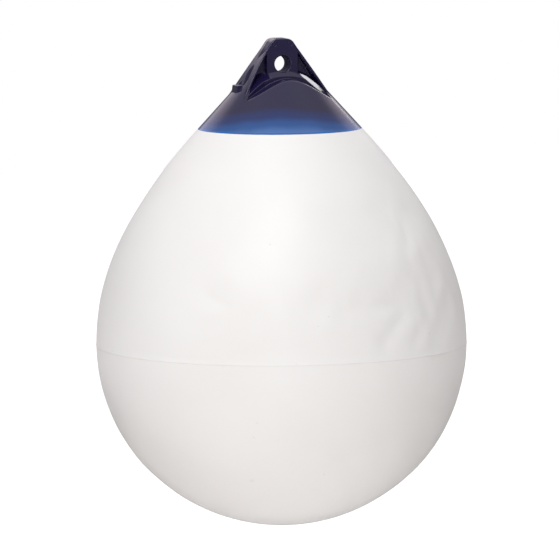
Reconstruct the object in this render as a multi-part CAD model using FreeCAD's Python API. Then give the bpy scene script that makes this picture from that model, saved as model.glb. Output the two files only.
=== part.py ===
import FreeCAD, Part
import math
import os

from FreeCAD import Vector

# Inflatable ball fender: a white teardrop body of soft vinyl and a dark blue rope hold moulded over its
# neck. All sizes are in millimetres. The origin is the centre of the rope eye, +Z is up, the eye runs
# along Y and the lug stands in the XZ plane, with the inflation valve on its -X side.

# Body: belly, then three arcs that lead up into a straight cone
belly_radius = 346.0
belly_arc = 427.0
belly_arc_end = 26.6          # degrees from upright, where the belly arc meets the shoulder arc
shoulder_arc = 819.0
shoulder_arc_end = 37.8
neck_arc = 1153.0
cone_angle = 42.3             # half angle of the cone
apex_height = 46.8            # where the cone's sides would meet, above the eye
bottom_depth = 342.0          # belly ring to the lowest point
cone_below_skirt = 5.2        # how far the straight cone runs on below the skirt
wall = 3.2
seam_height = 0.7             # parting bead round the belly
seam_width = 3.0

# Skirt of the rope hold, which lies flush in a rebate round the body's neck
skirt_drop = 121.0            # eye to the skirt's lower edge
skirt_edge = 0.9              # thickness of the feathered lower edge
neck_dome_radius = 155.0
neck_dome_top = 40.0          # eye to the top of the body's neck

# Lug: the upright plate with the eye, and the flanges down its two legs
eye_radius = 15.0
eye_rim = 3.0                 # rounding of the eye's rims
eye_relief = 1.0              # room round the eye's bore where the pad rises in front of it
lug_thickness = 40.0
crown_height = 47.0
crown_flat = 18.0
crown_corner_radius = 16.0
foot_span = 177.0             # outside width of the lug where its legs land on the cone
foot_drop = 66.0
leg_bow_height = 1.5          # outward bow of each leg
flange_thickness = 4.5
crown_rounding = 3.0          # on both outer edges of the plate
flange_top = 36.0             # height above the eye where the flanges start to stand out
flange_top_depth = 34.0       # over both flanges' front and back edges
flange_mid_drop = 18.0
flange_mid_depth = 65.0
flange_foot_drop = 58.0
flange_foot_depth = 96.0
rim_rounding = 1.5            # on both edges of each flange

# Recess between the legs
panel_width = 62.0            # thick panel round the eye
panel_rounding = 3.0
web_thickness = 16.0          # thin web behind each side pocket
web_fillet = 2.0              # between the web and the walls beside it
pad_depth = 80.0              # over both faces, across the middle
pad_straight = 84.0           # length of the straight part of the pad's edge
pad_foot_depth = 106.0
pad_slope = 0.40              # fall of the pad for each millimetre out from the web
pad_crown_drop = 8.5
pad_knee = (30.0, 12.5)       # half width and drop of points on the pad's crown line
pad_shoulder = (58.0, 25.5)
pad_end = (88.0, 46.5)
pad_rounding = 1.5            # on the pad's upper edge
pad_fillet = 1.2              # where the pad stands on the shelf
shelf_fall = 0.04             # fall of the shelf for each millimetre out from the lug
shelf_crown_drop = 25.0
shelf_knee = (20.0, 29.0)
shelf_middle = (41.0, 39.0)
shelf_shoulder = (62.0, 51.0)
shelf_end = (90.0, 65.5)
lip_rounding = 10.0           # where the shelf runs out onto the cone

# Valve boss at the foot of the left leg, and the scoop above it that clears the pump nozzle
valve_offset = 76.0           # lug's middle to the valve's axis
boss_drop = 38.0
boss_width = 29.0
boss_root = 45.0              # lug's middle to the boss's inner end, inside the leg
boss_reach = 88.0             # lug's middle to the boss's outer face
boss_draft = 0.12             # outward lean of its sides for each millimetre down
boss_corner = 3.0
boss_rounding = 1.5           # on its top edges
scoop_radius = 21.0
scoop_offset = 86.5           # lug's middle to the scoop's axis, at the top of the boss
scoop_lean = 0.39             # lean of the scoop's axis towards the lug for each millimetre up
scoop_wall = 3.5              # left between the scoop and the pockets behind it

# Valve: a seat pressed into the boss, a screw plug flush with it, and the plug's seal
seat_radius = 7.5
seat_flange_radius = 9.5
seat_flange_thickness = 5.0
seat_length = 34.0
plug_radius = 4.5
plug_length = 17.0            # of the shank, below the seal
plug_head_radius = 6.5
plug_head_thickness = 2.4
slot_width = 1.6
slot_depth = 1.2
seal_radius = 6.2
seal_thickness = 1.0
fit_gap = 0.1                 # round the plug, in radius
air_radius = 2.0

beyond = 160.0                # outside the rope hold on every side, for the shapes that cut it
exact = 0.01                  # nearer than this, a point counts as on an edge or a face
tight = 0.0001                # precision that a rounded solid is settled to

UP = Vector(0, 0, 1)
RIGHT = Vector(1, 0, 0)
ALONG = Vector(0, 1, 0)
ORIGIN = Vector(0, 0, 0)


def at(x, z, y=0.0):
    return Vector(x, y, z)


def polar(centre, radius, degrees):
    """A point in the XZ plane at an angle above the level line."""
    a = math.radians(degrees)
    return at(centre.x + radius * math.cos(a), centre.z + radius * math.sin(a))


def line(a, b):
    return Part.makeLine(a, b)


def arc(a, b, c):
    return Part.Arc(a, b, c).toShape()


def arc_about(centre, radius, start, end):
    return arc(polar(centre, radius, start), polar(centre, radius, 0.5 * (start + end)),
               polar(centre, radius, end))


def face(edges):
    return Part.Face(Part.Wire(edges))


def polygon(points):
    return Part.Face(Part.makePolygon(points + points[:1]))


def revolve(edges):
    return face(edges).revolve(ORIGIN, UP, 360)


def mirror_y(shape):
    return shape.mirror(ORIGIN, ALONG)


def both_sides(shape):
    return shape.fuse(mirror_y(shape))


def is_on(shape, point):
    return Part.Vertex(point).distToShape(shape)[0] < exact


def edges_at(solid, points):
    """The edges that pass through these points or through their mirror images at the back."""
    points = points + [Vector(p.x, -p.y, p.z) for p in points]
    return [edge for edge in solid.Edges if any(is_on(edge, p) for p in points)]


def rounded(solid, radius, edges):
    """The solid with these edges rounded, or filleted where they are hollow."""
    result = solid.makeFillet(radius, edges)
    if not result.isValid():
        result.fix(tight, tight, 10 * tight)
    return result


def body_arcs():
    """Centre and radius of each side arc, sized together to reach from the cone out to the belly."""
    start = cone_radius(-skirt_drop - cone_below_skirt)
    radii = [belly_arc, shoulder_arc, neck_arc]
    turns = [0.0, belly_arc_end, shoulder_arc_end, cone_angle]
    level = [math.cos(math.radians(turn)) for turn in turns]
    reach = sum(radii[i] * (level[i] - level[i + 1]) for i in range(3))
    radii = [radius * (belly_radius - start) / reach for radius in radii]
    end = at(start, -skirt_drop - cone_below_skirt)
    arcs = []
    for i in (2, 1, 0):
        centre = polar(end, -radii[i], turns[i + 1])
        end = polar(centre, radii[i], turns[i])
        arcs.insert(0, (centre, radii[i], turns[i], turns[i + 1]))
    return arcs


def belly_height():
    return body_arcs()[0][0].z


def cone_radius(height):
    return (apex_height - height) * math.tan(math.radians(cone_angle))


def side_edges(inset):
    """The side arcs from the belly ring up, moved in by inset."""
    return [arc_about(centre, radius - inset, start, end) for centre, radius, start, end in body_arcs()]


def bottom_edges(inset):
    """The lower half of the body as two tangent arcs, from the axis out to the belly ring."""
    turn = 45
    cosine, sine = math.cos(math.radians(turn)), math.sin(math.radians(turn))
    difference = (belly_radius - bottom_depth) / (cosine + sine - 1)
    side_centre = at(difference * cosine, belly_height())
    low_centre = at(0, belly_height() + difference * sine)
    side_radius = belly_radius - side_centre.x
    low_radius = side_radius + difference
    return [arc_about(low_centre, low_radius - inset, -90, -turn),
            arc_about(side_centre, side_radius - inset, -turn, 0)]


def neck_points(inset):
    """Where the rebate's side leaves the skirt's edge and where it meets the neck's dome."""
    centre = at(0, -neck_dome_top - neck_dome_radius)
    edge = at(cone_radius(-skirt_drop) - skirt_edge / math.cos(math.radians(cone_angle)), -skirt_drop)
    span = edge.sub(centre)
    reach = math.degrees(math.acos(neck_dome_radius / span.Length))
    normal = math.degrees(math.atan2(span.z, span.x)) + reach
    tangent = polar(centre, neck_dome_radius, normal)
    return polar(edge, -inset, normal), polar(tangent, -inset, normal), centre, normal


def body_outline(inset):
    """Half section of the body from its lowest point up to the top of its neck."""
    edge, tangent, centre, normal = neck_points(inset)
    neck_centre, neck_radius, start, end = body_arcs()[2]
    cone_start = polar(neck_centre, neck_radius - inset, end)
    edges = bottom_edges(inset) + side_edges(inset)
    if inset:
        edges.append(line(cone_start, edge))
    else:
        skirt_foot = at(cone_radius(-skirt_drop), -skirt_drop)
        edges += [line(cone_start, skirt_foot), line(skirt_foot, edge)]
    edges += [line(edge, tangent), arc_about(centre, neck_dome_radius - inset, normal, 90)]
    return edges


def closed_body(inset):
    """The body as a full solid, moved in by inset."""
    top = at(0, -neck_dome_top - inset)
    bottom = at(0, belly_height() - bottom_depth + inset)
    return revolve(body_outline(inset) + [line(top, bottom)])


def seam_bead():
    """The raised parting line round the belly, rooted in the wall."""
    root = 0.5 * wall
    half = 0.5 * seam_width * (seam_height + root) / seam_height
    tip = at(belly_radius + seam_height, belly_height())
    foot = at(belly_radius - root, belly_height())
    return polygon([polar(foot, half, -90), tip, polar(foot, half, 90)]).revolve(ORIGIN, UP, 360)


def make_body():
    shell = closed_body(0).fuse(seam_bead()).cut(closed_body(wall))
    return shell.cut(post(seat_radius, -2 * seat_length, 0)).removeSplitter()


def leg_frame():
    """Corner centre, foot point and the outward normal of the right leg's chord."""
    corner = at(0.5 * crown_flat, crown_height - crown_corner_radius)
    foot = at(0.5 * foot_span, -foot_drop)
    span = foot.sub(corner)
    reach = math.degrees(math.acos(crown_corner_radius / span.Length))
    return corner, foot, math.degrees(math.atan2(span.z, span.x)) + reach


def leg_line(inset):
    """Top, middle and foot of the right leg's outer edge, moved in by inset."""
    corner, foot, normal = leg_frame()
    top = polar(corner, crown_corner_radius - inset, normal)
    low = polar(foot, -inset, normal)
    return top, polar(top.add(low).multiply(0.5), leg_bow_height, normal), low


def flip(point):
    return Vector(-point.x, point.y, point.z)


def lug_face():
    """Front outline of the lug, down to its feet."""
    corner, foot, normal = leg_frame()
    top, middle, low = leg_line(0)
    crown_end = at(0.5 * crown_flat, crown_height)
    bend = polar(corner, crown_corner_radius, 0.5 * (normal + 90))
    return face([
        arc(low, middle, top), arc(top, bend, crown_end), line(crown_end, flip(crown_end)),
        arc(flip(crown_end), flip(bend), flip(top)), arc(flip(top), flip(middle), flip(low)),
        line(flip(low), low),
    ])


def lug_plate():
    """The lug's plate, with the outer edges of its crown and legs rounded."""
    plate = lug_face()
    plate.translate(at(0, 0, -0.5 * lug_thickness))
    plate = plate.extrude(at(0, 0, lug_thickness))
    rims = [e for e in plate.Edges if e.BoundBox.YLength < crown_rounding and e.CenterOfMass.z > -foot_drop]
    return plate.makeFillet(crown_rounding, rims)


def between_flanges(near, far):
    """Everything between the legs' inner faces, from one depth to another on the front side."""
    top, middle, low = leg_line(flange_thickness)
    roof, floor = at(top.x, beyond), at(low.x, -beyond)
    outline = face([
        arc(low, middle, top), line(top, roof), line(roof, flip(roof)), line(flip(roof), flip(top)),
        arc(flip(top), flip(middle), flip(low)), line(flip(low), flip(floor)), line(flip(floor), floor),
        line(floor, low),
    ])
    outline.translate(Vector(0, -near, 0))
    return outline.extrude(Vector(0, near - far, 0))


def crown_line(crown_drop, marks):
    """A smooth symmetric curve across the lug, highest in the middle."""
    right = [at(x, -drop) for x, drop in marks]
    curve = Part.BSplineCurve()
    curve.interpolate([flip(p) for p in reversed(right)] + [at(0, -crown_drop)] + right)
    return curve.toShape()


def sloped_block(crown_drop, marks, near, far, fall, level):
    """A block from the curved, sloping surface to a level, on the front side."""
    edge = crown_line(crown_drop, marks)
    a, b = edge.firstVertex().Point, edge.lastVertex().Point
    section = face([edge, line(b, at(b.x, level)), line(at(b.x, level), at(a.x, level)),
                    line(at(a.x, level), a)])
    section.translate(Vector(0, -near, 0))
    return section.extrude(Vector(0, near - far, fall * (near - far)))


def flange_envelope():
    """Side outline of the flanges: they leave the crown's rounding and flare out to the feet."""
    start = Vector(0, -0.5 * flange_top_depth, flange_top)
    middle = Vector(0, -0.5 * flange_mid_depth, -flange_mid_drop)
    foot = Vector(0, -0.5 * flange_foot_depth, -flange_foot_drop)
    high = Vector(0, start.y, beyond)
    low = Vector(0, foot.y, -beyond)
    front = [line(high, start), arc(start, middle, foot), line(foot, low)]
    back = [mirror_y(edge) for edge in front]
    ends = [line(low, Vector(0, -low.y, low.z)), line(high, Vector(0, -high.y, high.z))]
    outline = Part.Face(Part.Wire(Part.__sortEdges__(front + back + ends)))
    outline.translate(at(-beyond, 0))
    return outline.extrude(at(2 * beyond, 0))


def flanges():
    """The two thin flanges down the legs, with rounded rims."""
    outer, inner = leg_line(0), leg_line(flange_thickness)
    strip = face([arc(*outer), line(outer[2], inner[2]), arc(inner[2], inner[1], inner[0]),
                  line(inner[0], outer[0])])
    strip.translate(Vector(0, -beyond, 0))
    right = strip.extrude(Vector(0, 2 * beyond, 0))
    pair = right.fuse(right.mirror(ORIGIN, RIGHT)).common(flange_envelope())
    rims = [e for e in pair.Edges if e.BoundBox.ZLength > foot_drop and e.BoundBox.YLength > flange_thickness]
    return rounded(pair, rim_rounding, rims)


def shelf_cut():
    """The front recess between the legs, down to the arched shelf."""
    near = 0.5 * lug_thickness
    marks = [shelf_knee, shelf_middle, shelf_shoulder, shelf_end]
    block = sloped_block(shelf_crown_drop, marks, near, beyond, shelf_fall, beyond)
    return block.common(between_flanges(near, beyond))


def pocket_cut():
    """The two deep pockets of the front side, between the eye's panel and the flanges."""
    near, far = 0.5 * web_thickness, 0.5 * pad_depth
    marks = [pad_knee, pad_shoulder, pad_end]
    block = sloped_block(pad_crown_drop, marks, near, far, pad_slope, beyond)
    panel = Part.makeBox(panel_width, lug_thickness, 2 * beyond,
                         at(-0.5 * panel_width, -beyond, -0.5 * lug_thickness))
    corners = [e for e in panel.Edges if e.BoundBox.ZLength > beyond]
    return block.common(between_flanges(near, far)).cut(rounded(panel, panel_rounding, corners))


def pad_plan():
    """The pad's upright sides, as a tall block over its plan on the front side."""
    near, edge, foot = 0.5 * web_thickness, 0.5 * pad_depth, 0.5 * pad_foot_depth
    half, end = 0.5 * pad_straight, pad_end[0]
    plan = polygon([Vector(-end, -near, 0), Vector(-end, -foot, 0), Vector(-half, -edge, 0),
                    Vector(half, -edge, 0), Vector(end, -foot, 0), Vector(end, -near, 0)])
    plan.translate(at(0, -beyond))
    return plan.extrude(at(0, 2 * beyond))


def pad():
    """The raised pad under the eye and the pockets, with its upper edge rounded."""
    near, far = 0.5 * web_thickness, pad_foot_depth
    marks = [pad_knee, pad_shoulder, pad_end]
    block = sloped_block(pad_crown_drop, marks, near, far, pad_slope, -beyond).common(pad_plan())
    brow = [e for e in block.Edges if e.BoundBox.YMax < exact - 0.5 * pad_depth
            and e.BoundBox.XLength > exact and e.BoundBox.ZMax > -beyond + exact]
    return rounded(block, pad_rounding, brow).common(between_flanges(near, far))


def rounded_outline(left, right, half_width, corner, height):
    """A level outline about the valve's side of the lug, with rounded corners."""
    plate = Part.makeBox(right - left, 2 * half_width, 1, at(left, height, -half_width))
    corners = [e for e in plate.Edges if e.BoundBox.ZLength > 1 - exact]
    plate = plate.makeFillet(corner, corners)
    return min(plate.Faces, key=lambda f: f.CenterOfMass.z).OuterWire


def valve_boss():
    """The block at the left foot that carries the valve, with drafted sides."""
    half, fall = 0.5 * boss_width, boss_drop
    grow = boss_draft * fall
    upper = rounded_outline(-boss_reach, -boss_root, half, boss_corner, -boss_drop)
    lower = rounded_outline(-boss_reach - grow, -boss_root, half + grow, boss_corner + grow,
                            -boss_drop - fall)
    return Part.makeLoft([lower, upper], True)


def valve_scoop(grow):
    """The hollow in the leg above the valve boss: a leaning cylinder, level with the boss below."""
    lean = at(scoop_lean, 1)
    foot = at(-scoop_offset, -boss_drop)
    hollow = Part.makeCylinder(scoop_radius + grow, 3 * beyond, foot.sub(lean * beyond), lean)
    above = Part.makeBox(2 * beyond, 2 * beyond, beyond, at(-beyond, -boss_drop - grow, -beyond))
    return hollow.common(above)


def post(radius, low, high):
    """An upright cylinder on the valve's axis, between two heights above the top of the boss."""
    return Part.makeCylinder(radius, high - low, at(-valve_offset, low - boss_drop))


def seat_blank():
    """Outer form of the valve seat, and of the stepped hole that it fills."""
    return post(seat_radius, -seat_length, 0).fuse(post(seat_flange_radius, -seat_flange_thickness, 0))


def skirt_cone():
    """The cone of the skirt, solid up to its apex."""
    height = apex_height + skirt_drop
    return Part.makeCone(cone_radius(-skirt_drop), 0, height, at(0, -skirt_drop))


def eye_cutter():
    """The eye's bore with both rims rounded, and the relief that keeps the pad clear of it."""
    half, far = 0.5 * lug_thickness, 0.5 * pad_depth
    clear, wide = eye_radius + eye_relief, eye_radius + eye_rim
    low = half - eye_rim
    bend = eye_rim * (1 - math.sqrt(0.5))

    def spot(radius, y):
        return Vector(radius, y, 0)

    front = [line(spot(0, far), spot(clear, far)), line(spot(clear, far), spot(clear, half)),
             line(spot(clear, half), spot(wide, half)),
             arc(spot(wide, half), spot(eye_radius + bend, half - bend), spot(eye_radius, low))]
    wall_line = [line(spot(eye_radius, low), spot(eye_radius, -low)), line(spot(0, far), spot(0, -far))]
    outline = Part.Wire(Part.__sortEdges__(front + [mirror_y(edge) for edge in front] + wall_line))
    return Part.Face(outline).revolve(ORIGIN, ALONG, 360)


def shelf_point(depth):
    """A point of the shelf's middle line, at a depth in front of the lug's mid plane."""
    return at(0, -shelf_crown_drop - shelf_fall * (depth - 0.5 * lug_thickness), -depth)


def lip_point():
    """Where the shelf's middle line meets the cone."""
    spread = math.tan(math.radians(cone_angle))
    above = apex_height + shelf_crown_drop - 0.5 * shelf_fall * lug_thickness
    return shelf_point(spread * above / (1 - spread * shelf_fall))


def soften(solid):
    """Fillets the pad's foot and the pockets' corners, and rounds the boss's top, as moulded."""
    walls = both_sides(pad_plan())
    feet = []
    for side in (-1, 1):
        mark = shelf_point(0.25 * (pad_depth + pad_foot_depth))
        shelf = [f for f in solid.Faces if is_on(f, Vector(mark.x, -side * mark.y, mark.z))][0]
        feet += [e for e in shelf.Edges if is_on(walls, e.valueAt(0.5 * sum(e.ParameterRange)))]
    solid = rounded(solid, pad_fillet, feet)
    panel_foot = Vector(0.5 * panel_width, -0.5 * web_thickness, 0)
    leg_middle = leg_line(flange_thickness)[1]
    web_corners = [panel_foot, flip(panel_foot), at(leg_middle.x, leg_middle.z, panel_foot.y)]
    solid = rounded(solid, web_fillet, edges_at(solid, web_corners))
    boss_edges = [at(-boss_reach, -boss_drop), at(boss_corner - boss_reach, -boss_drop, -0.5 * boss_width)]
    return rounded(solid, boss_rounding, edges_at(solid, boss_edges))


def make_ropehold():
    scoop = valve_scoop(0)
    lug = lug_plate().fuse([flanges()], 10 * tight)
    solid = skirt_cone().cut(scoop).fuse(lug.cut(scoop))
    recess = both_sides(shelf_cut()).fuse(both_sides(pocket_cut()))
    solid = solid.cut(recess.cut(valve_scoop(scoop_wall)))
    solid = rounded(solid, lip_rounding, edges_at(solid, [lip_point()]))
    solid = solid.fuse(both_sides(pad()).cut(scoop)).fuse(valve_boss())
    solid = solid.cut(seat_blank()).cut(closed_body(0)).cut(eye_cutter()).removeSplitter()
    return soften(solid.Solids[0])


def make_valve_seat():
    """A stepped bush, bored for the plug and its head, with an air way below."""
    recess = plug_head_thickness + seal_thickness
    bore = post(plug_head_radius + fit_gap, -recess, 0)
    bore = bore.fuse(post(plug_radius + fit_gap, -recess - plug_length, 0))
    return seat_blank().cut(bore.fuse(post(air_radius, -seat_length, 0))).removeSplitter()


def make_valve_seal():
    low, high = -plug_head_thickness - seal_thickness, -plug_head_thickness
    return post(seal_radius, low, high).cut(post(plug_radius + fit_gap, low, high))


def make_valve_plug():
    """A screw plug with a driver slot, its head flush with the seat."""
    shank = post(plug_radius, fit_gap - plug_head_thickness - seal_thickness - plug_length, 0)
    head = post(plug_head_radius, -plug_head_thickness, 0)
    slot = Part.makeBox(4 * plug_head_radius, slot_width, slot_depth)
    slot.translate(at(-valve_offset - 2 * plug_head_radius, -boss_drop - slot_depth, -0.5 * slot_width))
    return head.fuse(shank).cut(slot).removeSplitter()


def main():
    os.makedirs("parts", exist_ok=True)
    pieces = {
        "body": make_body(),
        "ropehold": make_ropehold(),
        "valve_seat": make_valve_seat(),
        "valve_seal": make_valve_seal(),
        "valve_plug": make_valve_plug(),
    }
    for name, shape in pieces.items():
        print(name, "solids", len(shape.Solids), "faces", len(shape.Faces), "valid", shape.isValid(),
              "volume", round(shape.Volume / 1000, 1))
        shape.exportStep("parts/" + name + ".step")


main()
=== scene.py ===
"""Ball fender: a white inflatable body with a dark blue rope hold over its neck, dressed for a render."""
import math

import bmesh
import bpy
from bpy.props import FloatProperty, FloatVectorProperty, IntProperty, PointerProperty
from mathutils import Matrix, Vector


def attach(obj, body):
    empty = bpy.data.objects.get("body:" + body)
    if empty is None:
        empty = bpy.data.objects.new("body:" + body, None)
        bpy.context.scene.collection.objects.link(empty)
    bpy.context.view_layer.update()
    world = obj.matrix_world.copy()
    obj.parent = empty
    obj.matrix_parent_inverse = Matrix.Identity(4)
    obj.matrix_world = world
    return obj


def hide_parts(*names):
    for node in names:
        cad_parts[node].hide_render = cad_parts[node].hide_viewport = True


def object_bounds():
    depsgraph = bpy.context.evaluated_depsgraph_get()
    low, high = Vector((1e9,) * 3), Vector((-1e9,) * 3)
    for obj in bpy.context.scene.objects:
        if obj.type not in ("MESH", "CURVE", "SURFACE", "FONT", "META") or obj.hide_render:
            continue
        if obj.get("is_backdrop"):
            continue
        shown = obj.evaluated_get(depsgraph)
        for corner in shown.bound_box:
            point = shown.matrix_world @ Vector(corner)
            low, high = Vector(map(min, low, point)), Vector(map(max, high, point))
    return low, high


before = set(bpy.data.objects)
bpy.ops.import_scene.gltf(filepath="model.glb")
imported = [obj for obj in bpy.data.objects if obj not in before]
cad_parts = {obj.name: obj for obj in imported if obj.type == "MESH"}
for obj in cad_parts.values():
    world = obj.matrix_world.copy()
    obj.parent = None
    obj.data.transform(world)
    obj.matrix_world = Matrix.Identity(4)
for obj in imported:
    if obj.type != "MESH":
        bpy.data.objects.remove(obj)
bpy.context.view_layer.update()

bl_info = {
    "name": "Ball fender",
    "version": (1, 0, 0),
    "blender": (4, 5, 0),
    "location": "View3D > Sidebar > Fender",
    "description": "Builds a ball fender's body, finishes its rope hold and valve, and sets it in a plain studio",
    "category": "Object",
}

# Lengths are in metres. Places are measured from the middle of the rope eye, with Z along the fender's own axis.

# The body: steps of each stretch of its outline, from the foot up to the top of the neck
FOOT_STEPS, SIDE_STEPS, BELLY_STEPS, SHOULDER_STEPS, CONE_STEPS, NECK_STEPS, DOME_STEPS = 30, 34, 26, 16, 2, 12, 14
FOOT_TURN = math.radians(45)  # turn at which the foot's arc meets the side's
SEAM_SECTION = ((0.75, -0.25), (1.0, 0.0), (0.75, 0.25))  # shares of the bead's height and width

# Where the body's skin gives: firm up to the first distance and fully soft from the second
NECK_FIRM, NECK_SOFT = 0.02, 0.12
SEAM_FIRM, SEAM_SOFT = 0.012, 0.11
FOOT_FIRM, FOOT_SOFT = 0.0, 0.12
FLANKS = (                    # two ends and reach of each part of the body that has shorter folds
    ((0.140, -0.250, -0.300), (0.210, -0.260, -0.440), 0.15),
    ((-0.200, -0.262, -0.405), (0.020, -0.330, -0.440), 0.09),
)
CREASES = (                   # two ends of each crease in the skin, its reach and its share of the depth
    ((0.1634, -0.2242, -0.2865), (0.1666, -0.2436, -0.3187), 0.012, 0.30),
    ((-0.2188, -0.2442, -0.4030), (-0.1893, -0.2737, -0.4203), 0.014, 0.30),
    ((0.1812, -0.2805, -0.4246), (0.1973, -0.2784, -0.4625), 0.032, 0.50),
    ((0.0125, -0.3367, -0.4319), (0.1222, -0.3128, -0.4240), 0.030, 0.70),
    ((0.0899, -0.3328, -0.4886), (0.1299, -0.3128, -0.4451), 0.022, 0.90),
    ((0.1567, -0.3072, -0.4908), (0.1919, -0.2794, -0.4551), 0.020, 0.50),
    ((0.2121, -0.2716, -0.4882), (0.2462, -0.2318, -0.4386), 0.040, 0.75),
)
STAINS = (                    # place on the body, size and strength of each speck or smudge
    ((-0.2871, 0.0437, -0.3101), 0.0011, 0.40),
    ((-0.1074, -0.2691, -0.3087), 0.0011, 0.30),
    ((-0.0194, -0.3358, -0.4366), 0.0011, 0.25),
    ((-0.0396, -0.3374, -0.4528), 0.0010, 0.25),
    ((-0.3426, -0.0462, -0.5169), 0.0012, 0.40),
    ((-0.0808, -0.3361, -0.5209), 0.0010, 0.20),
    ((-0.1429, -0.2948, -0.6288), 0.0011, 0.25),
    ((-0.1453, -0.2813, -0.6558), 0.0011, 0.25),
    ((-0.0081, -0.2694, -0.7326), 0.0012, 0.25),
    ((-0.1313, -0.2260, -0.7421), 0.0040, 0.10),
    ((-0.1926, -0.0343, -0.8010), 0.0050, 0.10),
)
SEAM_PAINTED_SHADE = 0.07              # strength of the painted shade in the corner under the bead
SPECK_STRENGTH = 0.3

# The rope hold's mould marks
LEG_ROWS, LEG_FADE = 12, 9    # rows along a leg's outer face, and how many of them rise from the foot
CORNER_ROWS, CORNER_FLAT = 9, 2  # rows round the crown's corner, and where they start to sink
CORNER_STEP = math.radians(4)
LEG_STARTS = (("leg_face_right", 1, 0.46), ("leg_face_left", -1, 0.63))  # name, side and start along the leg
LINE_FOOT = 0.03              # width of the parting line's foot, as a share of the face
FACE_WALL = 0.0008
PIN_OFFSET, PIN_DROP = 0.0155, 0.010  # the pin rings' place off the middle and below the crown
PIN_BEAD_OUT, PIN_BEAD_RISE = 0.0004, 0.0003

# The rope hold's colour, from navy down to the light edge
THICK_SIDE = (0.966, -0.259, 0.0)  # where the skirt is thickest, and so stays dark the lowest
BAND_HEIGHT = 0.051           # height of the blend above the skirt's lower edge
BAND_WANDER = 0.002
BAND_FALL = 0.019             # how much lower the blend lies on the thick sides
EDGE_TOP, EDGE_WHOLE = 0.0032, 0.0018
EYE_WALL_IN, EYE_WALL_OUT = 0.0006, 0.0020  # past the eye's radius, where its dull wall ends
EYE_WALL_ROUGHNESS = 0.75

# Masks on the pad below the eye: an axis, where the mask has faded out and where it is whole
RAMP_EDGES = (("x", -0.036, -0.022), ("x", 0.072, 0.058), ("z", -0.044, -0.036),
              ("depth", 0.0196, 0.0212), ("depth", 0.047, 0.043))
RAMP_RISE = (0.70, 0.80)      # the same, by the upward part of the surface's normal
RAMP_LEAN = (0.0, 0.62, 0.0)
STREAK_EDGES = (("x", 0.030, 0.037), ("x", 0.075, 0.056), ("depth", 0.0200, 0.0212), ("depth", 0.053, 0.050))
STREAK_START = (0.0356, -0.0203)  # X and Z of the streak's upper end
STREAK_FALL = 0.88            # its fall for each unit along X
STREAK_WIDTH = (0.0075, 0.0035)  # the same as the edges, by the distance off its line
STREAK_LEAN = (-2.0, 5.2, 2.1)

# The studio
FLOOR_DROP = 0.42             # lowest point down to the floor; the fender hangs from its eye
FLOOR_SIZE = 24.0
FLOOR_GLOW = 0.68             # light that only the camera sees, which keeps the floor white
FLOOR_PAINTED_SHADE = (0.03, 0.03, 0.03)  # painted shade: the floor close by, dark only as the vinyl's shine shows it
FLOOR_FAR = (0.98, 0.97, 0.96)  # and the floor further off
FLOOR_REACH = (2.2, 5.0)      # where the one starts to turn into the other, and where it has
LIGHTS = (                    # name, place, aim, size and power in watts
    ("key_light", (-1.55, -3.3, 3.1), (0, 0, -0.4), (2.8, 2.8), 113.0),
    ("low_light", (-1.2, -4.0, -0.98), (0, 0, -0.8), (2.6, 0.45), 3.0),
    ("floor_light", (-0.35, -1.05, -0.8), (-0.35, -1.04, -2.0), (1.2, 1.2), 8.5),
    ("side_light", (-4.2, -0.4, 1.2), (0, 0, -0.4), (2.0, 2.0), 17.0),
    ("rim_light", (2.1, 3.1, 1.5), (0, 0, 0), (1.2, 1.2), 12.0),
)
FRONT = (-0.309, -0.951, 0.0)  # from the fender towards the camera
BACK_SLANT = -0.8             # how soon the back panel's edge rises away from the middle
TENT_SIDE = (0.63, 0.625, 0.62)
TENT_LOW = (0.18, 0.175, 0.18)
TENT_PANELS = (               # each over the ones before: measure, where it starts, where it is whole, colour
    ("height", 0.46, 0.30, TENT_LOW),
    ("behind", -1.02, -1.07, (1.12, 1.01, 1.10)),
    ("height", 0.20, 0.12, TENT_LOW),
    ("front", 0.3, 0.85, (0.30, 0.29, 0.28)),
    ("height", 0.62, 0.96, (1.08, 1.07, 1.07)),
)
IMAGE_SIZE = 560.0            # pixels, both ways
CAMERA_TURN = math.radians(18.0)  # to the left of the lug's front
CAMERA_LEAN = math.radians(-0.43)
CAMERA_DISTANCE = 9.15
CAMERA_HEIGHT = 0.6
CAMERA_AIM = (0.0, 0.0, -0.405)
CAMERA_SHIFT = -1.0           # pixels
FOCAL_PIXELS = 4930.0
SENSOR_WIDTH = 36.0           # millimetres


def length(name, description, default):
    return FloatProperty(name=name, description=description, default=default, unit="LENGTH", precision=4)


def angle(name, description, degrees):
    return FloatProperty(name=name, description=description, default=math.radians(degrees), unit="ROTATION")


def colour(name, description, default):
    return FloatVectorProperty(name=name, description=description, default=default, subtype="COLOR",
                               size=3, min=0.0, max=1.0)


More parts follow.
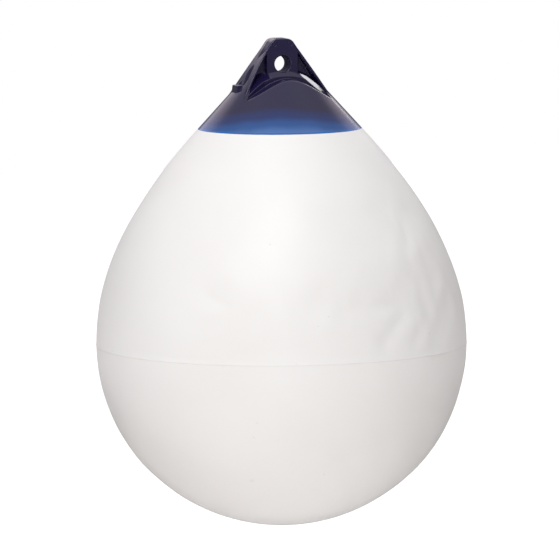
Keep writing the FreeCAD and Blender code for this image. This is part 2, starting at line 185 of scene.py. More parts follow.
class FenderSizes(bpy.types.PropertyGroup):
    belly_radius: length("Belly radius", "Half the body's greatest width", 0.346)
    belly_arc: length("Belly arc", "Relative radius of the side just above the belly", 0.427)
    shoulder_arc: length("Shoulder arc", "Relative radius of the side halfway up", 0.819)
    neck_arc: length("Neck arc", "Relative radius of the side below the cone", 1.153)
    belly_arc_end: angle("Belly arc end", "Turn at which the belly arc meets the shoulder arc", 26.6)
    shoulder_arc_end: angle("Shoulder arc end", "Turn at which the shoulder arc meets the neck arc", 37.8)
    cone_angle: angle("Cone angle", "Half angle of the cone under the skirt", 42.3)
    apex_height: length("Apex height", "Where the cone's sides would meet, above the eye", 0.0468)
    bottom_depth: length("Bottom depth", "Belly ring down to the lowest point", 0.342)
    skirt_drop: length("Skirt drop", "Eye down to the skirt's lower edge", 0.121)
    cone_below_skirt: length("Cone below skirt", "How far the cone runs on below the skirt", 0.0052)
    skirt_edge: length("Skirt edge", "Depth of the rebate at the skirt's lower edge", 0.0009)
    neck_dome_radius: length("Neck dome radius", "Radius of the neck's top, inside the rope hold", 0.155)
    neck_dome_top: length("Neck dome top", "Eye down to the top of the body's neck", 0.040)
    seam_height: length("Seam height", "Height of the parting bead round the belly", 0.0007)
    seam_width: length("Seam width", "Width of the parting bead round the belly", 0.003)
    slack: length("Slack", "Height of the slow waves in the body's skin", 0.0050)
    slack_width: length("Slack width", "Size of the body's slow waves", 0.15)
    fold_height: length("Fold height", "Height of the shorter folds on the body's flanks", 0.0078)
    fold_width: length("Fold width", "Size of those folds", 0.062)
    crease_depth: length("Crease depth", "Depth of which each crease in the skin takes its share", 0.0040)
    lug_thickness: length("Lug thickness", "Front face to back face of the rope hold's upright plate", 0.040)
    crown_height: length("Crown height", "Eye up to the top of the rope hold", 0.047)
    crown_flat: length("Crown flat", "Length of the crown's straight top", 0.018)
    crown_corner: length("Crown corner", "Radius of the crown's corners", 0.016)
    foot_span: length("Foot span", "Outside width of the lug at its feet", 0.177)
    foot_drop: length("Foot drop", "Eye down to the lug's feet", 0.066)
    leg_bow: length("Leg bow", "Outward bow of each leg", 0.0015)
    eye_radius: length("Eye radius", "Half the width of the rope eye", 0.015)
    crown_rounding: length("Crown rounding", "Rounding of the plate's outer edges", 0.003)
    flange_top: length("Flange top", "Height above the eye where the flanges start", 0.036)
    flange_top_depth: length("Flange top depth", "Front to back of both flanges at their top", 0.034)
    flange_flare: FloatProperty(name="Flange flare", description="Growth of that depth for each unit down",
                                default=0.574)
    rim_rounding: length("Rim rounding", "Rounding of the flanges' edges", 0.0015)
    face_rise: length("Face rise", "How far each leg's outer face stands out along its middle", 0.0011)
    mark_rise: length("Mark rise", "How far the mould's parting lines stand out", 0.0004)
    mark_width: length("Mark width", "Half the width of the mould's parting lines", 0.0006)
    pin_radius: length("Pin radius", "Radius of the ring that each ejector pin left", 0.0045)
    body_segments: IntProperty(name="Body segments", description="Facets round the body", default=240, min=48)


class FenderColours(bpy.types.PropertyGroup):
    vinyl_white: colour("White vinyl", "Body", (0.855, 0.85, 0.845))
    vinyl_shade: colour("White vinyl, duller", "Cloudy patches in the white vinyl", (0.825, 0.812, 0.80))
    speck: colour("Specks", "Small specks in the white vinyl", (0.42, 0.38, 0.34))
    vinyl_navy: colour("Navy vinyl", "Thick parts of the rope hold", (0.0125, 0.0090, 0.046))
    vinyl_deep: colour("Deep blue vinyl", "The skirt where it starts to thin", (0.008, 0.022, 0.115))
    vinyl_middle: colour("Middle blue vinyl", "The skirt halfway to its edge", (0.010, 0.065, 0.245))
    vinyl_skirt: colour("Blue vinyl", "The skirt just above its thin edge", (0.054, 0.144, 0.39))
    vinyl_edge: colour("Skirt edge", "The skirt's thin lower edge", (0.0, 0.115, 0.44))
    valve_plastic: colour("Valve plastic", "Valve seat and plug", (0.012, 0.012, 0.022))
    valve_rubber: colour("Valve rubber", "Valve seal", (0.01, 0.01, 0.01))
    floor: colour("Floor", "Studio floor and backdrop", (0.72, 0.705, 0.69))


def edit_mode(piece):
    bpy.context.view_layer.objects.active = piece
    bpy.ops.object.mode_set(mode="EDIT")


def object_mode():
    bpy.ops.object.mode_set(mode="OBJECT")


def deselect_objects():
    bpy.ops.object.select_all(action="DESELECT")


def select_only(piece):
    deselect_objects()
    piece.select_set(True)
    bpy.context.view_layer.objects.active = piece


def start_point(name, place):
    """A piece in edit mode that holds one selected vertex."""
    deselect_objects()
    bpy.ops.mesh.primitive_plane_add(size=0.001, location=(0, 0, 0))
    piece = bpy.context.object
    piece.name = name
    piece.data.name = name
    edit_mode(piece)
    bpy.ops.mesh.merge(type="CENTER")
    bpy.ops.transform.translate(value=place)
    return piece


def run_to(start, end, steps=1):
    """Extrudes the selected vertex along a straight line."""
    step = (Vector(end) - Vector(start)) / steps
    for _ in range(steps):
        bpy.ops.mesh.extrude_region_move(TRANSFORM_OT_translate={"value": step})
    return Vector(end)


def sweep(point, centre, turn, steps):
    """Spins the selected vertex about a centre in the XZ plane; a positive turn goes from +X up to +Z."""
    bpy.ops.mesh.spin(steps=steps, angle=turn, center=centre, axis=(0, 1, 0))
    arm = Vector(point) - Vector(centre)
    cosine, sine = math.cos(turn), math.sin(turn)
    return Vector(centre) + Vector((arm.x * cosine - arm.z * sine, 0, arm.x * sine + arm.z * cosine))


def close_up():
    """Merges a finished shell's double points and turns its faces outwards."""
    bpy.ops.mesh.select_all(action="SELECT")
    bpy.ops.mesh.remove_doubles(threshold=1e-5)
    bpy.ops.mesh.normals_make_consistent(inside=False)
    object_mode()


def finish(piece, kind, **values):
    """Adds a modifier with these values and applies it."""
    select_only(piece)
    modifier = piece.modifiers.new(kind.lower(), kind)
    for name, value in values.items():
        setattr(modifier, name, value)
    bpy.ops.object.modifier_apply(modifier=modifier.name)


def ring(name, centre, radius, corners):
    """Spins a small closed section, given as steps out from the radius and along Y, about the centre."""
    places = [Vector(centre) + Vector((radius + out, along, 0)) for out, along in corners]
    piece = start_point(name, places[0])
    for start, end in zip(places, places[1:] + places[:1]):
        run_to(start, end)
    bpy.ops.mesh.select_all(action="SELECT")
    bpy.ops.mesh.remove_doubles(threshold=1e-6)
    bpy.ops.mesh.select_all(action="SELECT")
    bpy.ops.mesh.spin(steps=64, angle=2 * math.pi, center=centre, axis=(0, 1, 0))
    close_up()
    return piece


def own_copy(piece, name, step):
    """A copy with its own mesh, moved in edit mode."""
    select_only(piece)
    bpy.ops.object.duplicate(linked=False)
    copy = bpy.context.object
    copy.name = name
    copy.data.name = name
    edit_mode(copy)
    bpy.ops.mesh.select_all(action="SELECT")
    bpy.ops.transform.translate(value=step)
    object_mode()
    return copy


def nearness(point, start, end, reach):
    """1 on the line from start to end, and 0 from reach away."""
    start, end = Vector(start), Vector(end)
    along = end - start
    part = max(0.0, min(1.0, (point - start).dot(along) / along.length_squared))
    gap = (point - start - part * along).length / reach
    return max(0.0, 1.0 - gap * gap) ** 2


def smooth_step(value, low, high):
    t = max(0.0, min(1.0, (value - low) / (high - low)))
    return t * t * (3 - 2 * t)


def displace(piece, name, weight, strength, wave_size=0.0):
    """Moves the piece's points along their normals by their weight, all one way or in waves of a size."""
    group = piece.vertex_groups.new(name=name)
    for vertex in piece.data.vertices:
        value = weight(vertex.co)
        if value > 0.001:
            group.add([vertex.index], value, "REPLACE")
    values = {"vertex_group": name, "strength": strength, "mid_level": 0.0}
    if wave_size:
        waves = bpy.data.textures.new(name, "CLOUDS")
        waves.noise_scale = wave_size
        waves.noise_depth = 1
        values.update(mid_level=0.5, texture=waves, texture_coords="LOCAL")
    finish(piece, "DISPLACE", **values)
    piece.vertex_groups.clear()


def polar(centre, radius, turn):
    return Vector(centre) + Vector((radius * math.cos(turn), 0, radius * math.sin(turn)))


def cone_radius(s, height):
    return (s.apex_height - height) * math.tan(s.cone_angle)


def side_arcs(s):
    """Centre, radius and turns of each side arc from the belly up, as the body's solid has them."""
    height = -s.skirt_drop - s.cone_below_skirt
    start = cone_radius(s, height)
    turns = [0.0, s.belly_arc_end, s.shoulder_arc_end, s.cone_angle]
    radii = [s.belly_arc, s.shoulder_arc, s.neck_arc]
    reach = sum(radii[i] * (math.cos(turns[i]) - math.cos(turns[i + 1])) for i in range(3))
    radii = [radius * (s.belly_radius - start) / reach for radius in radii]
    end = Vector((start, 0, height))
    arcs = []
    for i in (2, 1, 0):
        centre = polar(end, -radii[i], turns[i + 1])
        end = polar(centre, radii[i], turns[i])
        arcs.insert(0, (centre, radii[i], turns[i], turns[i + 1]))
    return arcs


def feed(links, value, socket):
    """Gives a socket another socket's output or a plain value."""
    if isinstance(value, bpy.types.NodeSocket):
        links.new(value, socket)
    else:
        socket.default_value = value


def mix_colours(nodes, links, factor, first, second):
    """A mix whose factor is a socket, and whose colours are sockets or plain values."""
    mix = nodes.new("ShaderNodeMix")
    mix.data_type = "RGBA"
    links.new(factor, mix.inputs["Factor"])
    for value, name in ((first, "A"), (second, "B")):
        socket = [i for i in mix.inputs if i.name == name and i.type == "RGBA"][0]
        feed(links, value if isinstance(value, bpy.types.NodeSocket) else (*value, 1.0), socket)
    return [o for o in mix.outputs if o.type == "RGBA"][0]


def ranged(nodes, links, socket, low, high, to_low, to_high, smooth=False):
    node = nodes.new("ShaderNodeMapRange")
    if smooth:
        node.interpolation_type = "SMOOTHSTEP"
    links.new(socket, node.inputs["Value"])
    for name, value in (("From Min", low), ("From Max", high), ("To Min", to_low), ("To Max", to_high)):
        node.inputs[name].default_value = value
    return node.outputs["Result"]


def calculate(nodes, links, operation, *values):
    """A Math node between sockets or plain values."""
    node = nodes.new("ShaderNodeMath")
    node.operation = operation
    for value, socket in zip(values, node.inputs):
        feed(links, value, socket)
    return node.outputs["Value"]


def vector_math(nodes, links, operation, *values):
    """A Vector Math node between sockets or plain values; a length or dot product gives a number."""
    node = nodes.new("ShaderNodeVectorMath")
    node.operation = operation
    for value, socket in zip(values, node.inputs):
        feed(links, value, socket)
    return node.outputs["Value" if operation in ("LENGTH", "DISTANCE", "DOT_PRODUCT") else "Vector"]


def noise(nodes, links, vector, scale, detail, roughness=0.5):
    node = nodes.new("ShaderNodeTexNoise")
    links.new(vector, node.inputs["Vector"])
    for value, name in ((scale, "Scale"), (detail, "Detail"), (roughness, "Roughness")):
        feed(links, value, node.inputs[name])
    return node.outputs["Fac"]


def vinyl_group():
    """Slow cloudiness, slow waves, a fine moulded grain and small specks, all over a soft vinyl surface."""
    group = bpy.data.node_groups.new("Soft vinyl", "ShaderNodeTree")
    for name, kind in (("Vector", "NodeSocketVector"), ("Cloud size", "NodeSocketFloat"),
                       ("Grain size", "NodeSocketFloat"), ("Speck size", "NodeSocketFloat")):
        group.interface.new_socket(name=name, in_out="INPUT", socket_type=kind)
    for name in ("Cloud", "Grain", "Speck", "Waves"):
        group.interface.new_socket(name=name, in_out="OUTPUT", socket_type="NodeSocketFloat")
    nodes, links = group.nodes, group.links
    inputs = nodes.new("NodeGroupInput").outputs
    outputs = nodes.new("NodeGroupOutput").inputs
    vector = inputs["Vector"]
    links.new(noise(nodes, links, vector, inputs["Cloud size"], 3.0, 0.45), outputs["Cloud"])
    links.new(noise(nodes, links, vector, inputs["Grain size"], 2.0), outputs["Grain"])
    links.new(noise(nodes, links, vector, 9.0, 1.0), outputs["Waves"])
    cell = nodes.new("ShaderNodeTexVoronoi")
    links.new(vector, cell.inputs["Vector"])
    links.new(inputs["Speck size"], cell.inputs["Scale"])
    near = ranged(nodes, links, cell.outputs["Distance"], 0.05, 0.03, 0.0, 1.0)
    chosen = nodes.new("ShaderNodeSeparateColor")
    links.new(cell.outputs["Color"], chosen.inputs["Color"])
    few = calculate(nodes, links, "GREATER_THAN", chosen.outputs["Red"], 0.96)
    links.new(calculate(nodes, links, "MULTIPLY", near, few), outputs["Speck"])
    return group


def new_material(name):
    material = bpy.data.materials.new(name)
    material.use_nodes = True
    nodes, links = material.node_tree.nodes, material.node_tree.links
    return material, nodes, links, nodes["Principled BSDF"]


def place_group(nodes, links, group, **values):
    """Texture coordinates, and the vinyl group fed with a place on the piece and these values."""
    place = nodes.new("ShaderNodeTexCoord")
    block = nodes.new("ShaderNodeGroup")
    block.node_tree = group
    links.new(place.outputs["Object"], block.inputs["Vector"])
    for name, value in values.items():
        block.inputs[name.replace("_", " ")].default_value = value
    return place, block


def separate(nodes, links, vector):
    node = nodes.new("ShaderNodeSeparateXYZ")
    links.new(vector, node.inputs["Vector"])
    return node.outputs["X"], node.outputs["Y"], node.outputs["Z"]


def faded(nodes, links, mask, axes, edges):
    """The mask, faded out past each edge."""
    for axis, outside, inside in edges:
        mask = calculate(nodes, links, "MULTIPLY", mask,
                         ranged(nodes, links, axes[axis], outside, inside, 0.0, 1.0, smooth=True))
    return mask


def leaned(nodes, links, normal, mask, y, towards):
    """The normal, leaning by the mask towards a direction given for the +Y side and mirrored on the other."""
    side = calculate(nodes, links, "MULTIPLY", mask, calculate(nodes, links, "SIGN", y))
    lean = nodes.new("ShaderNodeCombineXYZ")
    for share, strength, axis in zip((mask, side, mask), towards, "XYZ"):
        links.new(calculate(nodes, links, "MULTIPLY", share, strength), lean.inputs[axis])
    total = vector_math(nodes, links, "ADD", normal, lean.outputs["Vector"])
    return vector_math(nodes, links, "NORMALIZE", total)


def pad_shading(nodes, links, normal, axes):
    """Leans the normal out on the pad's ramp below the eye, and along its right half, where light streaks it.

    Returns the normal and the streak's mask.
    """
    x, y, z = axes["x"], axes["y"], axes["z"]
    rise = separate(nodes, links, normal)[2]
    ramp = faded(nodes, links, ranged(nodes, links, rise, *RAMP_RISE, 0.0, 1.0), axes, RAMP_EDGES)
    normal = leaned(nodes, links, normal, ramp, y, RAMP_LEAN)
    fall = calculate(nodes, links, "MULTIPLY", calculate(nodes, links, "SUBTRACT", x, STREAK_START[0]), STREAK_FALL)
    level = calculate(nodes, links, "SUBTRACT", z, STREAK_START[1])
    gap = calculate(nodes, links, "ABSOLUTE", calculate(nodes, links, "ADD", fall, level))
    line = ranged(nodes, links, gap, *STREAK_WIDTH, 0.0, 1.0, smooth=True)
    streak = faded(nodes, links, line, axes, STREAK_EDGES)
    return leaned(nodes, links, normal, streak, y, STREAK_LEAN), streak


def bump(nodes, links, shader, heights, normal=None):
    """Chains bumps, each a height socket with its distance in metres and its strength."""
    for height, distance, strength in heights:
        node = nodes.new("ShaderNodeBump")
        node.inputs["Distance"].default_value = distance
        node.inputs["Strength"].default_value = strength
        links.new(height, node.inputs["Height"])
        if normal is not None:
            links.new(normal, node.inputs["Normal"])
        normal = node.outputs["Normal"]
    links.new(normal, shader.inputs["Normal"])


def white_vinyl(colours, group, piece):
    """Satin white vinyl with faint clouds and specks, a few stains, and painted shade under the parting bead."""
    material, nodes, links, shader = new_material("White vinyl")
    place, block = place_group(nodes, links, group, Cloud_size=4.0, Grain_size=420.0, Speck_size=26.0)
    cloud = ranged(nodes, links, block.outputs["Cloud"], 0.35, 0.75, 0.0, 0.7, smooth=True)
    base = mix_colours(nodes, links, cloud, colours.vinyl_white, colours.vinyl_shade)
    faint = ranged(nodes, links, block.outputs["Speck"], 0.0, 1.0, 0.0, SPECK_STRENGTH)
    base = mix_colours(nodes, links, faint, base, colours.speck)
    for centre, size, strength in STAINS:
        on_skin = piece.closest_point_on_mesh(Vector(centre))[1]
        gap = vector_math(nodes, links, "DISTANCE", place.outputs["Object"], on_skin)
        stain = ranged(nodes, links, gap, 1.6 * size, 0.7 * size, 0.0, strength, smooth=True)
        base = mix_colours(nodes, links, stain, base, colours.speck)
    sizes = bpy.context.scene.fender_sizes
    corner = side_arcs(sizes)[0][0].z - 0.5 * sizes.seam_width
    height = separate(nodes, links, place.outputs["Object"])[2]
    # Painted shade: a thin line just under the parting bead is darkened with the speck colour.
    at_seam = calculate(nodes, links, "COMPARE", height, corner, 0.0005)
    seam_painted_shade = ranged(nodes, links, at_seam, 0.0, 1.0, 0.0, SEAM_PAINTED_SHADE)
    links.new(mix_colours(nodes, links, seam_painted_shade, base, colours.speck), shader.inputs["Base Color"])
    links.new(ranged(nodes, links, block.outputs["Cloud"], 0.3, 0.7, 0.40, 0.50), shader.inputs["Roughness"])
    bump(nodes, links, shader, [(block.outputs["Waves"], 0.02, 0.04), (block.outputs["Grain"], 0.0004, 0.06)])
    return material


def skirt_colour(nodes, links, colours, place, cloud, z):
    """Navy that turns blue towards the skirt's lower edge, where it thins over the white body."""
    edge = -bpy.context.scene.fender_sizes.skirt_drop
    level = vector_math(nodes, links, "MULTIPLY", place, (1.0, 1.0, 0.0))
    across = vector_math(nodes, links, "DOT_PRODUCT", vector_math(nodes, links, "NORMALIZE", level), THICK_SIDE)
    thick = calculate(nodes, links, "POWER", calculate(nodes, links, "ABSOLUTE", across), 2.0)
    wander = ranged(nodes, links, cloud, 0.3, 0.7, -BAND_WANDER, BAND_WANDER)
    shift = calculate(nodes, links, "ADD", wander, calculate(nodes, links, "MULTIPLY", thick, BAND_FALL))
    height = calculate(nodes, links, "ADD", z, shift)
    ramp = nodes.new("ShaderNodeValToRGB")
    ramp.color_ramp.interpolation = "EASE"
    stops = ramp.color_ramp.elements
    stops[0].position, stops[0].color = 0.0, (*colours.vinyl_navy, 1.0)
    stops[1].position, stops[1].color = 0.95, (*colours.vinyl_skirt, 1.0)
    for position, value in ((0.35, colours.vinyl_deep), (0.63, colours.vinyl_middle)):
        stop = stops.new(position)
        stop.color = (*value, 1.0)
    links.new(ranged(nodes, links, height, edge + BAND_HEIGHT, edge, 0.0, 1.0), ramp.inputs["Fac"])
    rim = ranged(nodes, links, z, edge + EDGE_TOP, edge + EDGE_WHOLE, 0.0, 1.0)
    return mix_colours(nodes, links, rim, ramp.outputs["Color"], colours.vinyl_edge)


def blue_vinyl(colours, group):
    """Glossy blue vinyl, dull only in the eye, with a brighter streak on the pad's right half."""
    material, nodes, links, shader = new_material("Blue vinyl")
    place, block = place_group(nodes, links, group, Cloud_size=20.0, Grain_size=700.0, Speck_size=60.0)
    spot, cloud = place.outputs["Object"], block.outputs["Cloud"]
    x, y, z = separate(nodes, links, spot)
    axes = {"x": x, "y": y, "z": z, "depth": calculate(nodes, links, "ABSOLUTE", y)}
    links.new(skirt_colour(nodes, links, colours, spot, cloud, z), shader.inputs["Base Color"])
    radius = bpy.context.scene.fender_sizes.eye_radius
    from_eye = vector_math(nodes, links, "LENGTH", vector_math(nodes, links, "MULTIPLY", spot, (1.0, 0.0, 1.0)))
    dull = ranged(nodes, links, from_eye, radius + EYE_WALL_IN, radius + EYE_WALL_OUT, EYE_WALL_ROUGHNESS, 0.0)
    gloss = ranged(nodes, links, cloud, 0.3, 0.7, 0.12, 0.18)
    links.new(calculate(nodes, links, "MAXIMUM", dull, gloss), shader.inputs["Roughness"])
    normal, streak = pad_shading(nodes, links, place.outputs["Normal"], axes)
    bump(nodes, links, shader, [(cloud, 0.004, 0.025), (block.outputs["Grain"], 0.0003, 0.03)], normal)
    links.new(normal, shader.inputs["Coat Normal"])
    links.new(streak, shader.inputs["Coat Weight"])
    for name, value in (("Specular IOR Level", 0.42), ("Coat IOR", 2.0), ("Coat Roughness", 0.12)):
        shader.inputs[name].default_value = value
    return material


def valve_material(name, colour_value, roughness, group):
    """Dark plastic or rubber with a fine grain, a little lighter and rougher in patches."""
    material, nodes, links, shader = new_material(name)
    block = place_group(nodes, links, group, Cloud_size=160.0, Grain_size=1600.0, Speck_size=400.0)[1]
    cloud = block.outputs["Cloud"]
    lighter = tuple(min(1.0, 1.8 * c + 0.004) for c in colour_value)
    patches = ranged(nodes, links, cloud, 0.3, 0.7, 0.0, 1.0)
    links.new(mix_colours(nodes, links, patches, colour_value, lighter), shader.inputs["Base Color"])
    links.new(ranged(nodes, links, cloud, 0.3, 0.7, roughness, roughness + 0.12), shader.inputs["Roughness"])
    bump(nodes, links, shader, [(block.outputs["Grain"], 0.0002, 0.12)])
    return material


def dress(piece, material):
    piece.data.materials.clear()
    piece.data.materials.append(material)


class FENDER_OT_body(bpy.types.Operator):
    """Model the inflated body as a spun shell with its parting bead, and lay it over the neck"""
    bl_idname = "fender.body"
    bl_label = "Body"

    def execute(self, context):
        s = context.scene.fender_sizes
        belly = side_arcs(s)[0][0].z
        piece = self.outline(s, belly)
        bpy.ops.mesh.select_all(action="SELECT")
        bpy.ops.mesh.spin(steps=s.body_segments, angle=2 * math.pi, center=(0, 0, 0), axis=(0, 0, 1))
        close_up()
        self.soften(piece, s, belly)
        bpy.ops.object.shade_smooth_by_angle(angle=math.radians(35))
        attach(piece, "root")
        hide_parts("body")
        dress(piece, white_vinyl(context.scene.fender_colours, bpy.data.node_groups["Soft vinyl"], piece))
        return {"FINISHED"}

    def outline(self, s, belly):
        """Draws half the body's section from its lowest point up, and round the top of its neck."""
        arcs = side_arcs(s)
        difference = (s.belly_radius - s.bottom_depth) / (math.cos(FOOT_TURN) + math.sin(FOOT_TURN) - 1)
        side_centre = Vector((difference * math.cos(FOOT_TURN), 0, belly))
        low_centre = Vector((0, 0, belly + difference * math.sin(FOOT_TURN)))
        lowest = Vector((0, 0, belly - s.bottom_depth))
        piece = start_point("fender_body", lowest)
        point = sweep(lowest, low_centre, FOOT_TURN, FOOT_STEPS)

        bead_turn = 0.5 * s.seam_width / s.belly_radius
        point = sweep(point, side_centre, FOOT_TURN - bead_turn, SIDE_STEPS)
        for rise, offset in SEAM_SECTION:
            place = Vector((s.belly_radius + rise * s.seam_height, 0, belly + offset * s.seam_width))
            point = run_to(point, place)

        centre, radius, start, end = arcs[0]
        point = run_to(point, polar(centre, radius, start + bead_turn))
        point = sweep(point, centre, end - start - bead_turn, BELLY_STEPS)
        for centre, radius, start, end in arcs[1:]:
            point = sweep(point, centre, end - start, SHOULDER_STEPS)

        foot = Vector((cone_radius(s, -s.skirt_drop), 0, -s.skirt_drop))
        point = run_to(point, foot, CONE_STEPS)
        edge = foot - Vector((s.skirt_edge / math.cos(s.cone_angle), 0, 0))
        point = run_to(point, edge)
        dome = Vector((0, 0, -s.neck_dome_top - s.neck_dome_radius))
        span = edge - dome
        tangent = math.atan2(span.z, span.x) + math.acos(s.neck_dome_radius / span.length)
        point = run_to(point, polar(dome, s.neck_dome_radius, tangent), NECK_STEPS)
        sweep(point, dome, math.pi / 2 - tangent, DOME_STEPS)
        return piece

    def soften(self, piece, s, belly):
        """Lets the skin give in slow waves, shorter folds and creases, but not at its neck and seam."""
        def give(point):
            return (smooth_step(-s.skirt_drop - point.z, NECK_FIRM, NECK_SOFT)
                    * smooth_step(abs(point.z - belly), SEAM_FIRM, SEAM_SOFT)
                    * smooth_step(point.z - belly + s.bottom_depth, FOOT_FIRM, FOOT_SOFT))

        def flank(point):
            return give(point) * max(nearness(point, start, end, reach) for start, end, reach in FLANKS)

        def crease(point):
            return max(share * nearness(point, start, end, reach) for start, end, reach, share in CREASES)

        displace(piece, "waves", give, s.slack, s.slack_width)
        displace(piece, "folds", flank, s.fold_height, s.fold_width)
        displace(piece, "creases", crease, -s.crease_depth)


class FENDER_OT_rope_hold(bpy.types.Operator):
    """Finish the moulded rope hold in glossy navy vinyl that turns bright blue at its thin edge"""
    bl_idname = "fender.rope_hold"
    bl_label = "Rope hold"

    def execute(self, context):
        dress(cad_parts["ropehold"],
              blue_vinyl(context.scene.fender_colours, bpy.data.node_groups["Soft vinyl"]))
        return {"FINISHED"}


class FENDER_OT_mould_marks(bpy.types.Operator):
    """Model what the mould left on the rope hold: parting lines on its legs and in its eye, and pin rings"""
    bl_idname = "fender.mould_marks"
    bl_label = "Mould marks"

    def execute(self, context):
        s = context.scene.fender_sizes
        pieces = [self.leg_face(s, name, side, start) for name, side, start in LEG_STARTS]
        sunk = 0.5 * s.mark_rise
        pieces.append(ring("eye_line", (0, 0, 0), s.eye_radius,
                           ((sunk, -s.mark_width), (-s.mark_rise, 0), (sunk, s.mark_width))))
        face = 0.5 * s.lug_thickness
        pin = ring("pin_ring_1", (PIN_OFFSET, -face, s.crown_height - PIN_DROP), s.pin_radius,
                   ((-PIN_BEAD_OUT, 0), (0, -PIN_BEAD_RISE), (PIN_BEAD_OUT, 0), (0, PIN_BEAD_RISE)))
        pieces += [pin, own_copy(pin, "pin_ring_2", (-2 * PIN_OFFSET, 0, 0)),
                   own_copy(pin, "pin_ring_3", (0, 2 * face, 0)),
                   own_copy(pin, "pin_ring_4", (-2 * PIN_OFFSET, 2 * face, 0))]
        for piece in pieces:
            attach(piece, "root")
            dress(piece, bpy.data.materials["Blue vinyl"])
        return {"FINISHED"}

    def leg_face(self, s, name, side, start):
        """A leg's outer face as the mould leaves it: two halves that lean away from a fine parting line."""
        places, out = self.face_edge(s, start)
        places = [Vector((side * p.x, p.y, p.z)) for p in places]
        out = Vector((side * out.x, 0, out.z))
        piece = start_point(name, places[0])
        for place, target in zip(places, places[1:]):
            run_to(place, target)
        bpy.ops.mesh.select_all(action="SELECT")
        for squeeze, rise in ((LINE_FOOT, s.face_rise), (0.0, s.mark_rise)):
            bpy.ops.mesh.extrude_region_move(TRANSFORM_OT_translate={"value": rise * out})
            bpy.ops.transform.resize(value=(1, squeeze, 1), center_override=(0, 0, 0))
        object_mode()
        finish(piece, "MIRROR", use_axis=(False, True, False), merge_threshold=1e-5)
        edit_mode(piece)
        bpy.ops.mesh.select_all(action="SELECT")
        bpy.ops.mesh.remove_doubles(threshold=1e-5)
        bpy.ops.mesh.normals_make_consistent(inside=False)
        self.turn_out(piece, out)
        object_mode()
        finish(piece, "SOLIDIFY", thickness=FACE_WALL, offset=-1.0)
        bpy.ops.object.shade_smooth_by_angle(angle=math.radians(5))
        return piece

    def face_edge(self, s, start):
        """The face's front edge, from a start along the leg to the crown's corner, and the leg's way out."""
        corner = Vector((0.5 * s.crown_flat, 0, s.crown_height - s.crown_corner))
        foot = Vector((0.5 * s.foot_span, 0, -s.foot_drop))
        span = foot - corner
        tangent = math.atan2(span.z, span.x) + math.acos(s.crown_corner / span.length)
        out = Vector((math.cos(tangent), 0, math.sin(tangent)))
        top = corner + s.crown_corner * out
        rise = s.face_rise + s.mark_rise
        places = []
        for i in range(LEG_ROWS + 1):
            t = start + (1 - start) * i / LEG_ROWS
            sunk = rise * (1 - smooth_step(i, 0, LEG_FADE))
            place = foot.lerp(top, t) + (4 * s.leg_bow * t * (1 - t) - sunk) * out
            flange = 0.5 * (s.flange_top_depth + (s.flange_top - place.z) * s.flange_flare) - s.rim_rounding
            place.y = -max(0.5 * s.lug_thickness - s.crown_rounding, flange)
            places.append(place)
        for i in range(1, CORNER_ROWS + 1):
            sunk = rise * smooth_step(i, CORNER_FLAT, CORNER_ROWS)
            place = polar(corner, s.crown_corner - sunk, tangent + i * CORNER_STEP)
            place.y = -0.5 * s.lug_thickness + s.crown_rounding
            places.append(place)
        return places, out

    def turn_out(self, piece, out):
        """Flips the open strip's faces if they look into the leg."""
        mesh = bmesh.from_edit_mesh(piece.data)
        if sum(face.normal.dot(out) for face in mesh.faces) < 0:
            bpy.ops.mesh.flip_normals()


class FENDER_OT_valve(bpy.types.Operator):
    """Finish the inflation valve's seat, seal and plug"""
    bl_idname = "fender.valve"
    bl_label = "Valve"

    def execute(self, context):
        colours = context.scene.fender_colours
        group = bpy.data.node_groups["Soft vinyl"]
        plastic = valve_material("Valve plastic", colours.valve_plastic, 0.32, group)
        rubber = valve_material("Valve rubber", colours.valve_rubber, 0.6, group)
        for node, material in (("valve_seat", plastic), ("valve_plug", plastic), ("valve_seal", rubber)):
            dress(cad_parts[node], material)
        return {"FINISHED"}


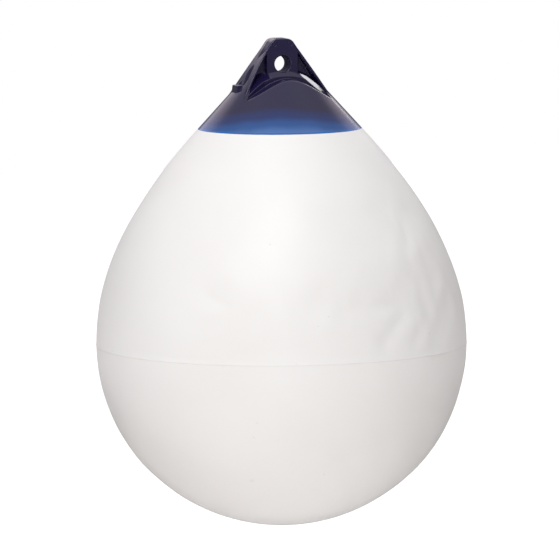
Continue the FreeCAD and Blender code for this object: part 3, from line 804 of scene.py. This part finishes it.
class FENDER_OT_stage(bpy.types.Operator):
    """Set the floor and backdrop, the soft lights and the camera"""
    bl_idname = "fender.stage"
    bl_label = "Stage"

    def execute(self, context):
        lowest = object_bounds()[0].z
        self.floor(context, lowest - FLOOR_DROP)
        for name, place, aim, size, power in LIGHTS:
            self.area(name, place, aim, size, power)
        self.world(context)
        self.camera(context)
        return {"FINISHED"}

    def floor(self, context, height):
        """A pale floor that the camera sees white, with painted shade close by that only the vinyl's shine shows.
        """
        deselect_objects()
        bpy.ops.mesh.primitive_plane_add(size=FLOOR_SIZE, location=(0, 0, height))
        floor = context.object
        floor.name = "floor"
        edit_mode(floor)
        bpy.ops.mesh.select_all(action="SELECT")
        bpy.ops.mesh.subdivide(number_cuts=3)
        object_mode()
        material, nodes, links, shader = new_material("Studio floor")
        shader.inputs["Roughness"].default_value = 0.9
        shader.inputs["Specular IOR Level"].default_value = 0.1
        place = nodes.new("ShaderNodeTexCoord").outputs["Object"]
        path = nodes.new("ShaderNodeLightPath").outputs
        pale = context.scene.fender_colours.floor
        base = mix_colours(nodes, links, noise(nodes, links, place, 3.0, 2.0), pale, tuple(0.99 * c for c in pale))
        away = vector_math(nodes, links, "LENGTH", place)
        far = ranged(nodes, links, away, *FLOOR_REACH, 0.0, 1.0, smooth=True)
        # Painted shade: glossy rays see the floor close by as nearly black, which darkens the vinyl's shine.
        mirrored = mix_colours(nodes, links, far, FLOOR_PAINTED_SHADE, FLOOR_FAR)
        links.new(mix_colours(nodes, links, path["Is Glossy Ray"], base, mirrored), shader.inputs["Base Color"])
        shader.inputs["Emission Color"].default_value = (1, 1, 1, 1)
        links.new(calculate(nodes, links, "MULTIPLY", path["Is Camera Ray"], FLOOR_GLOW),
                  shader.inputs["Emission Strength"])
        dress(floor, material)
        floor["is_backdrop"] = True

    def area(self, name, place, aim, size, power):
        deselect_objects()
        bpy.ops.object.light_add(type="AREA", location=place)
        lamp = bpy.context.object
        lamp.name = name
        lamp.data.shape = "RECTANGLE"
        lamp.data.size, lamp.data.size_y = size
        lamp.data.energy = power
        lamp.rotation_euler = (Vector(aim) - Vector(place)).to_track_quat("-Z", "Y").to_euler()
        lamp.visible_camera = False

    def world(self, context):
        """A tent bright overhead and behind, dimmer at the sides and in front; the camera sees plain white."""
        world = bpy.data.worlds.new("Studio")
        context.scene.world = world
        world.use_nodes = True
        nodes, links = world.node_tree.nodes, world.node_tree.links
        place = nodes.new("ShaderNodeTexCoord").outputs["Generated"]
        front = vector_math(nodes, links, "DOT_PRODUCT", place, FRONT)
        height = separate(nodes, links, place)[2]
        behind = calculate(nodes, links, "ADD", calculate(nodes, links, "MULTIPLY", height, BACK_SLANT), front)
        measures = {"height": height, "front": front, "behind": behind}
        tent = TENT_SIDE
        for measure, start, whole, panel in TENT_PANELS:
            share = ranged(nodes, links, measures[measure], start, whole, 0.0, 1.0, smooth=True)
            tent = mix_colours(nodes, links, share, tent, panel)
        seen = nodes.new("ShaderNodeLightPath").outputs["Is Camera Ray"]
        shade = nodes["Background"]
        links.new(mix_colours(nodes, links, seen, tent, (1, 1, 1)), shade.inputs["Color"])
        shade.inputs["Strength"].default_value = 1.0

    def camera(self, context):
        place = Vector((-CAMERA_DISTANCE * math.sin(CAMERA_TURN), -CAMERA_DISTANCE * math.cos(CAMERA_TURN),
                        CAMERA_HEIGHT))
        deselect_objects()
        bpy.ops.object.camera_add(location=place)
        camera = context.object
        camera.name = "photo_camera"
        camera.data.sensor_width = SENSOR_WIDTH
        camera.data.lens = FOCAL_PIXELS / IMAGE_SIZE * SENSOR_WIDTH
        camera.data.clip_end = 100.0
        camera.data.shift_x = CAMERA_SHIFT / IMAGE_SIZE
        camera.rotation_euler = (Vector(CAMERA_AIM) - place).to_track_quat("-Z", "Y").to_euler()
        camera.rotation_euler.rotate_axis("Z", CAMERA_LEAN)
        context.scene.camera = camera


class FENDER_PT_panel(bpy.types.Panel):
    """Lists the fender's sizes, colours and building steps"""
    bl_idname = "FENDER_PT_panel"
    bl_label = "Ball fender"
    bl_space_type = "VIEW_3D"
    bl_region_type = "UI"
    bl_category = "Fender"

    def draw(self, context):
        layout = self.layout
        for group in (context.scene.fender_sizes, context.scene.fender_colours):
            box = layout.box()
            for name in group.bl_rna.properties.keys():
                if name not in ("rna_type", "name"):
                    box.prop(group, name)
        for step in STEPS:
            layout.operator("fender." + step)


STEPS = ("body", "rope_hold", "mould_marks", "valve", "stage")
CLASSES = (FenderSizes, FenderColours, FENDER_OT_body, FENDER_OT_rope_hold, FENDER_OT_mould_marks,
           FENDER_OT_valve, FENDER_OT_stage, FENDER_PT_panel)


def register():
    for item in CLASSES:
        bpy.utils.register_class(item)
    bpy.types.Scene.fender_sizes = PointerProperty(type=FenderSizes)
    bpy.types.Scene.fender_colours = PointerProperty(type=FenderColours)


def unregister():
    del bpy.types.Scene.fender_colours
    del bpy.types.Scene.fender_sizes
    for item in reversed(CLASSES):
        bpy.utils.unregister_class(item)


def main():
    register()
    bpy.context.scene.view_settings.view_transform = "Standard"
    vinyl_group()
    bpy.ops.fender.body()
    bpy.ops.fender.rope_hold()
    bpy.ops.fender.mould_marks()
    bpy.ops.fender.valve()
    bpy.ops.fender.stage()


if __name__ == "__main__":
    main()
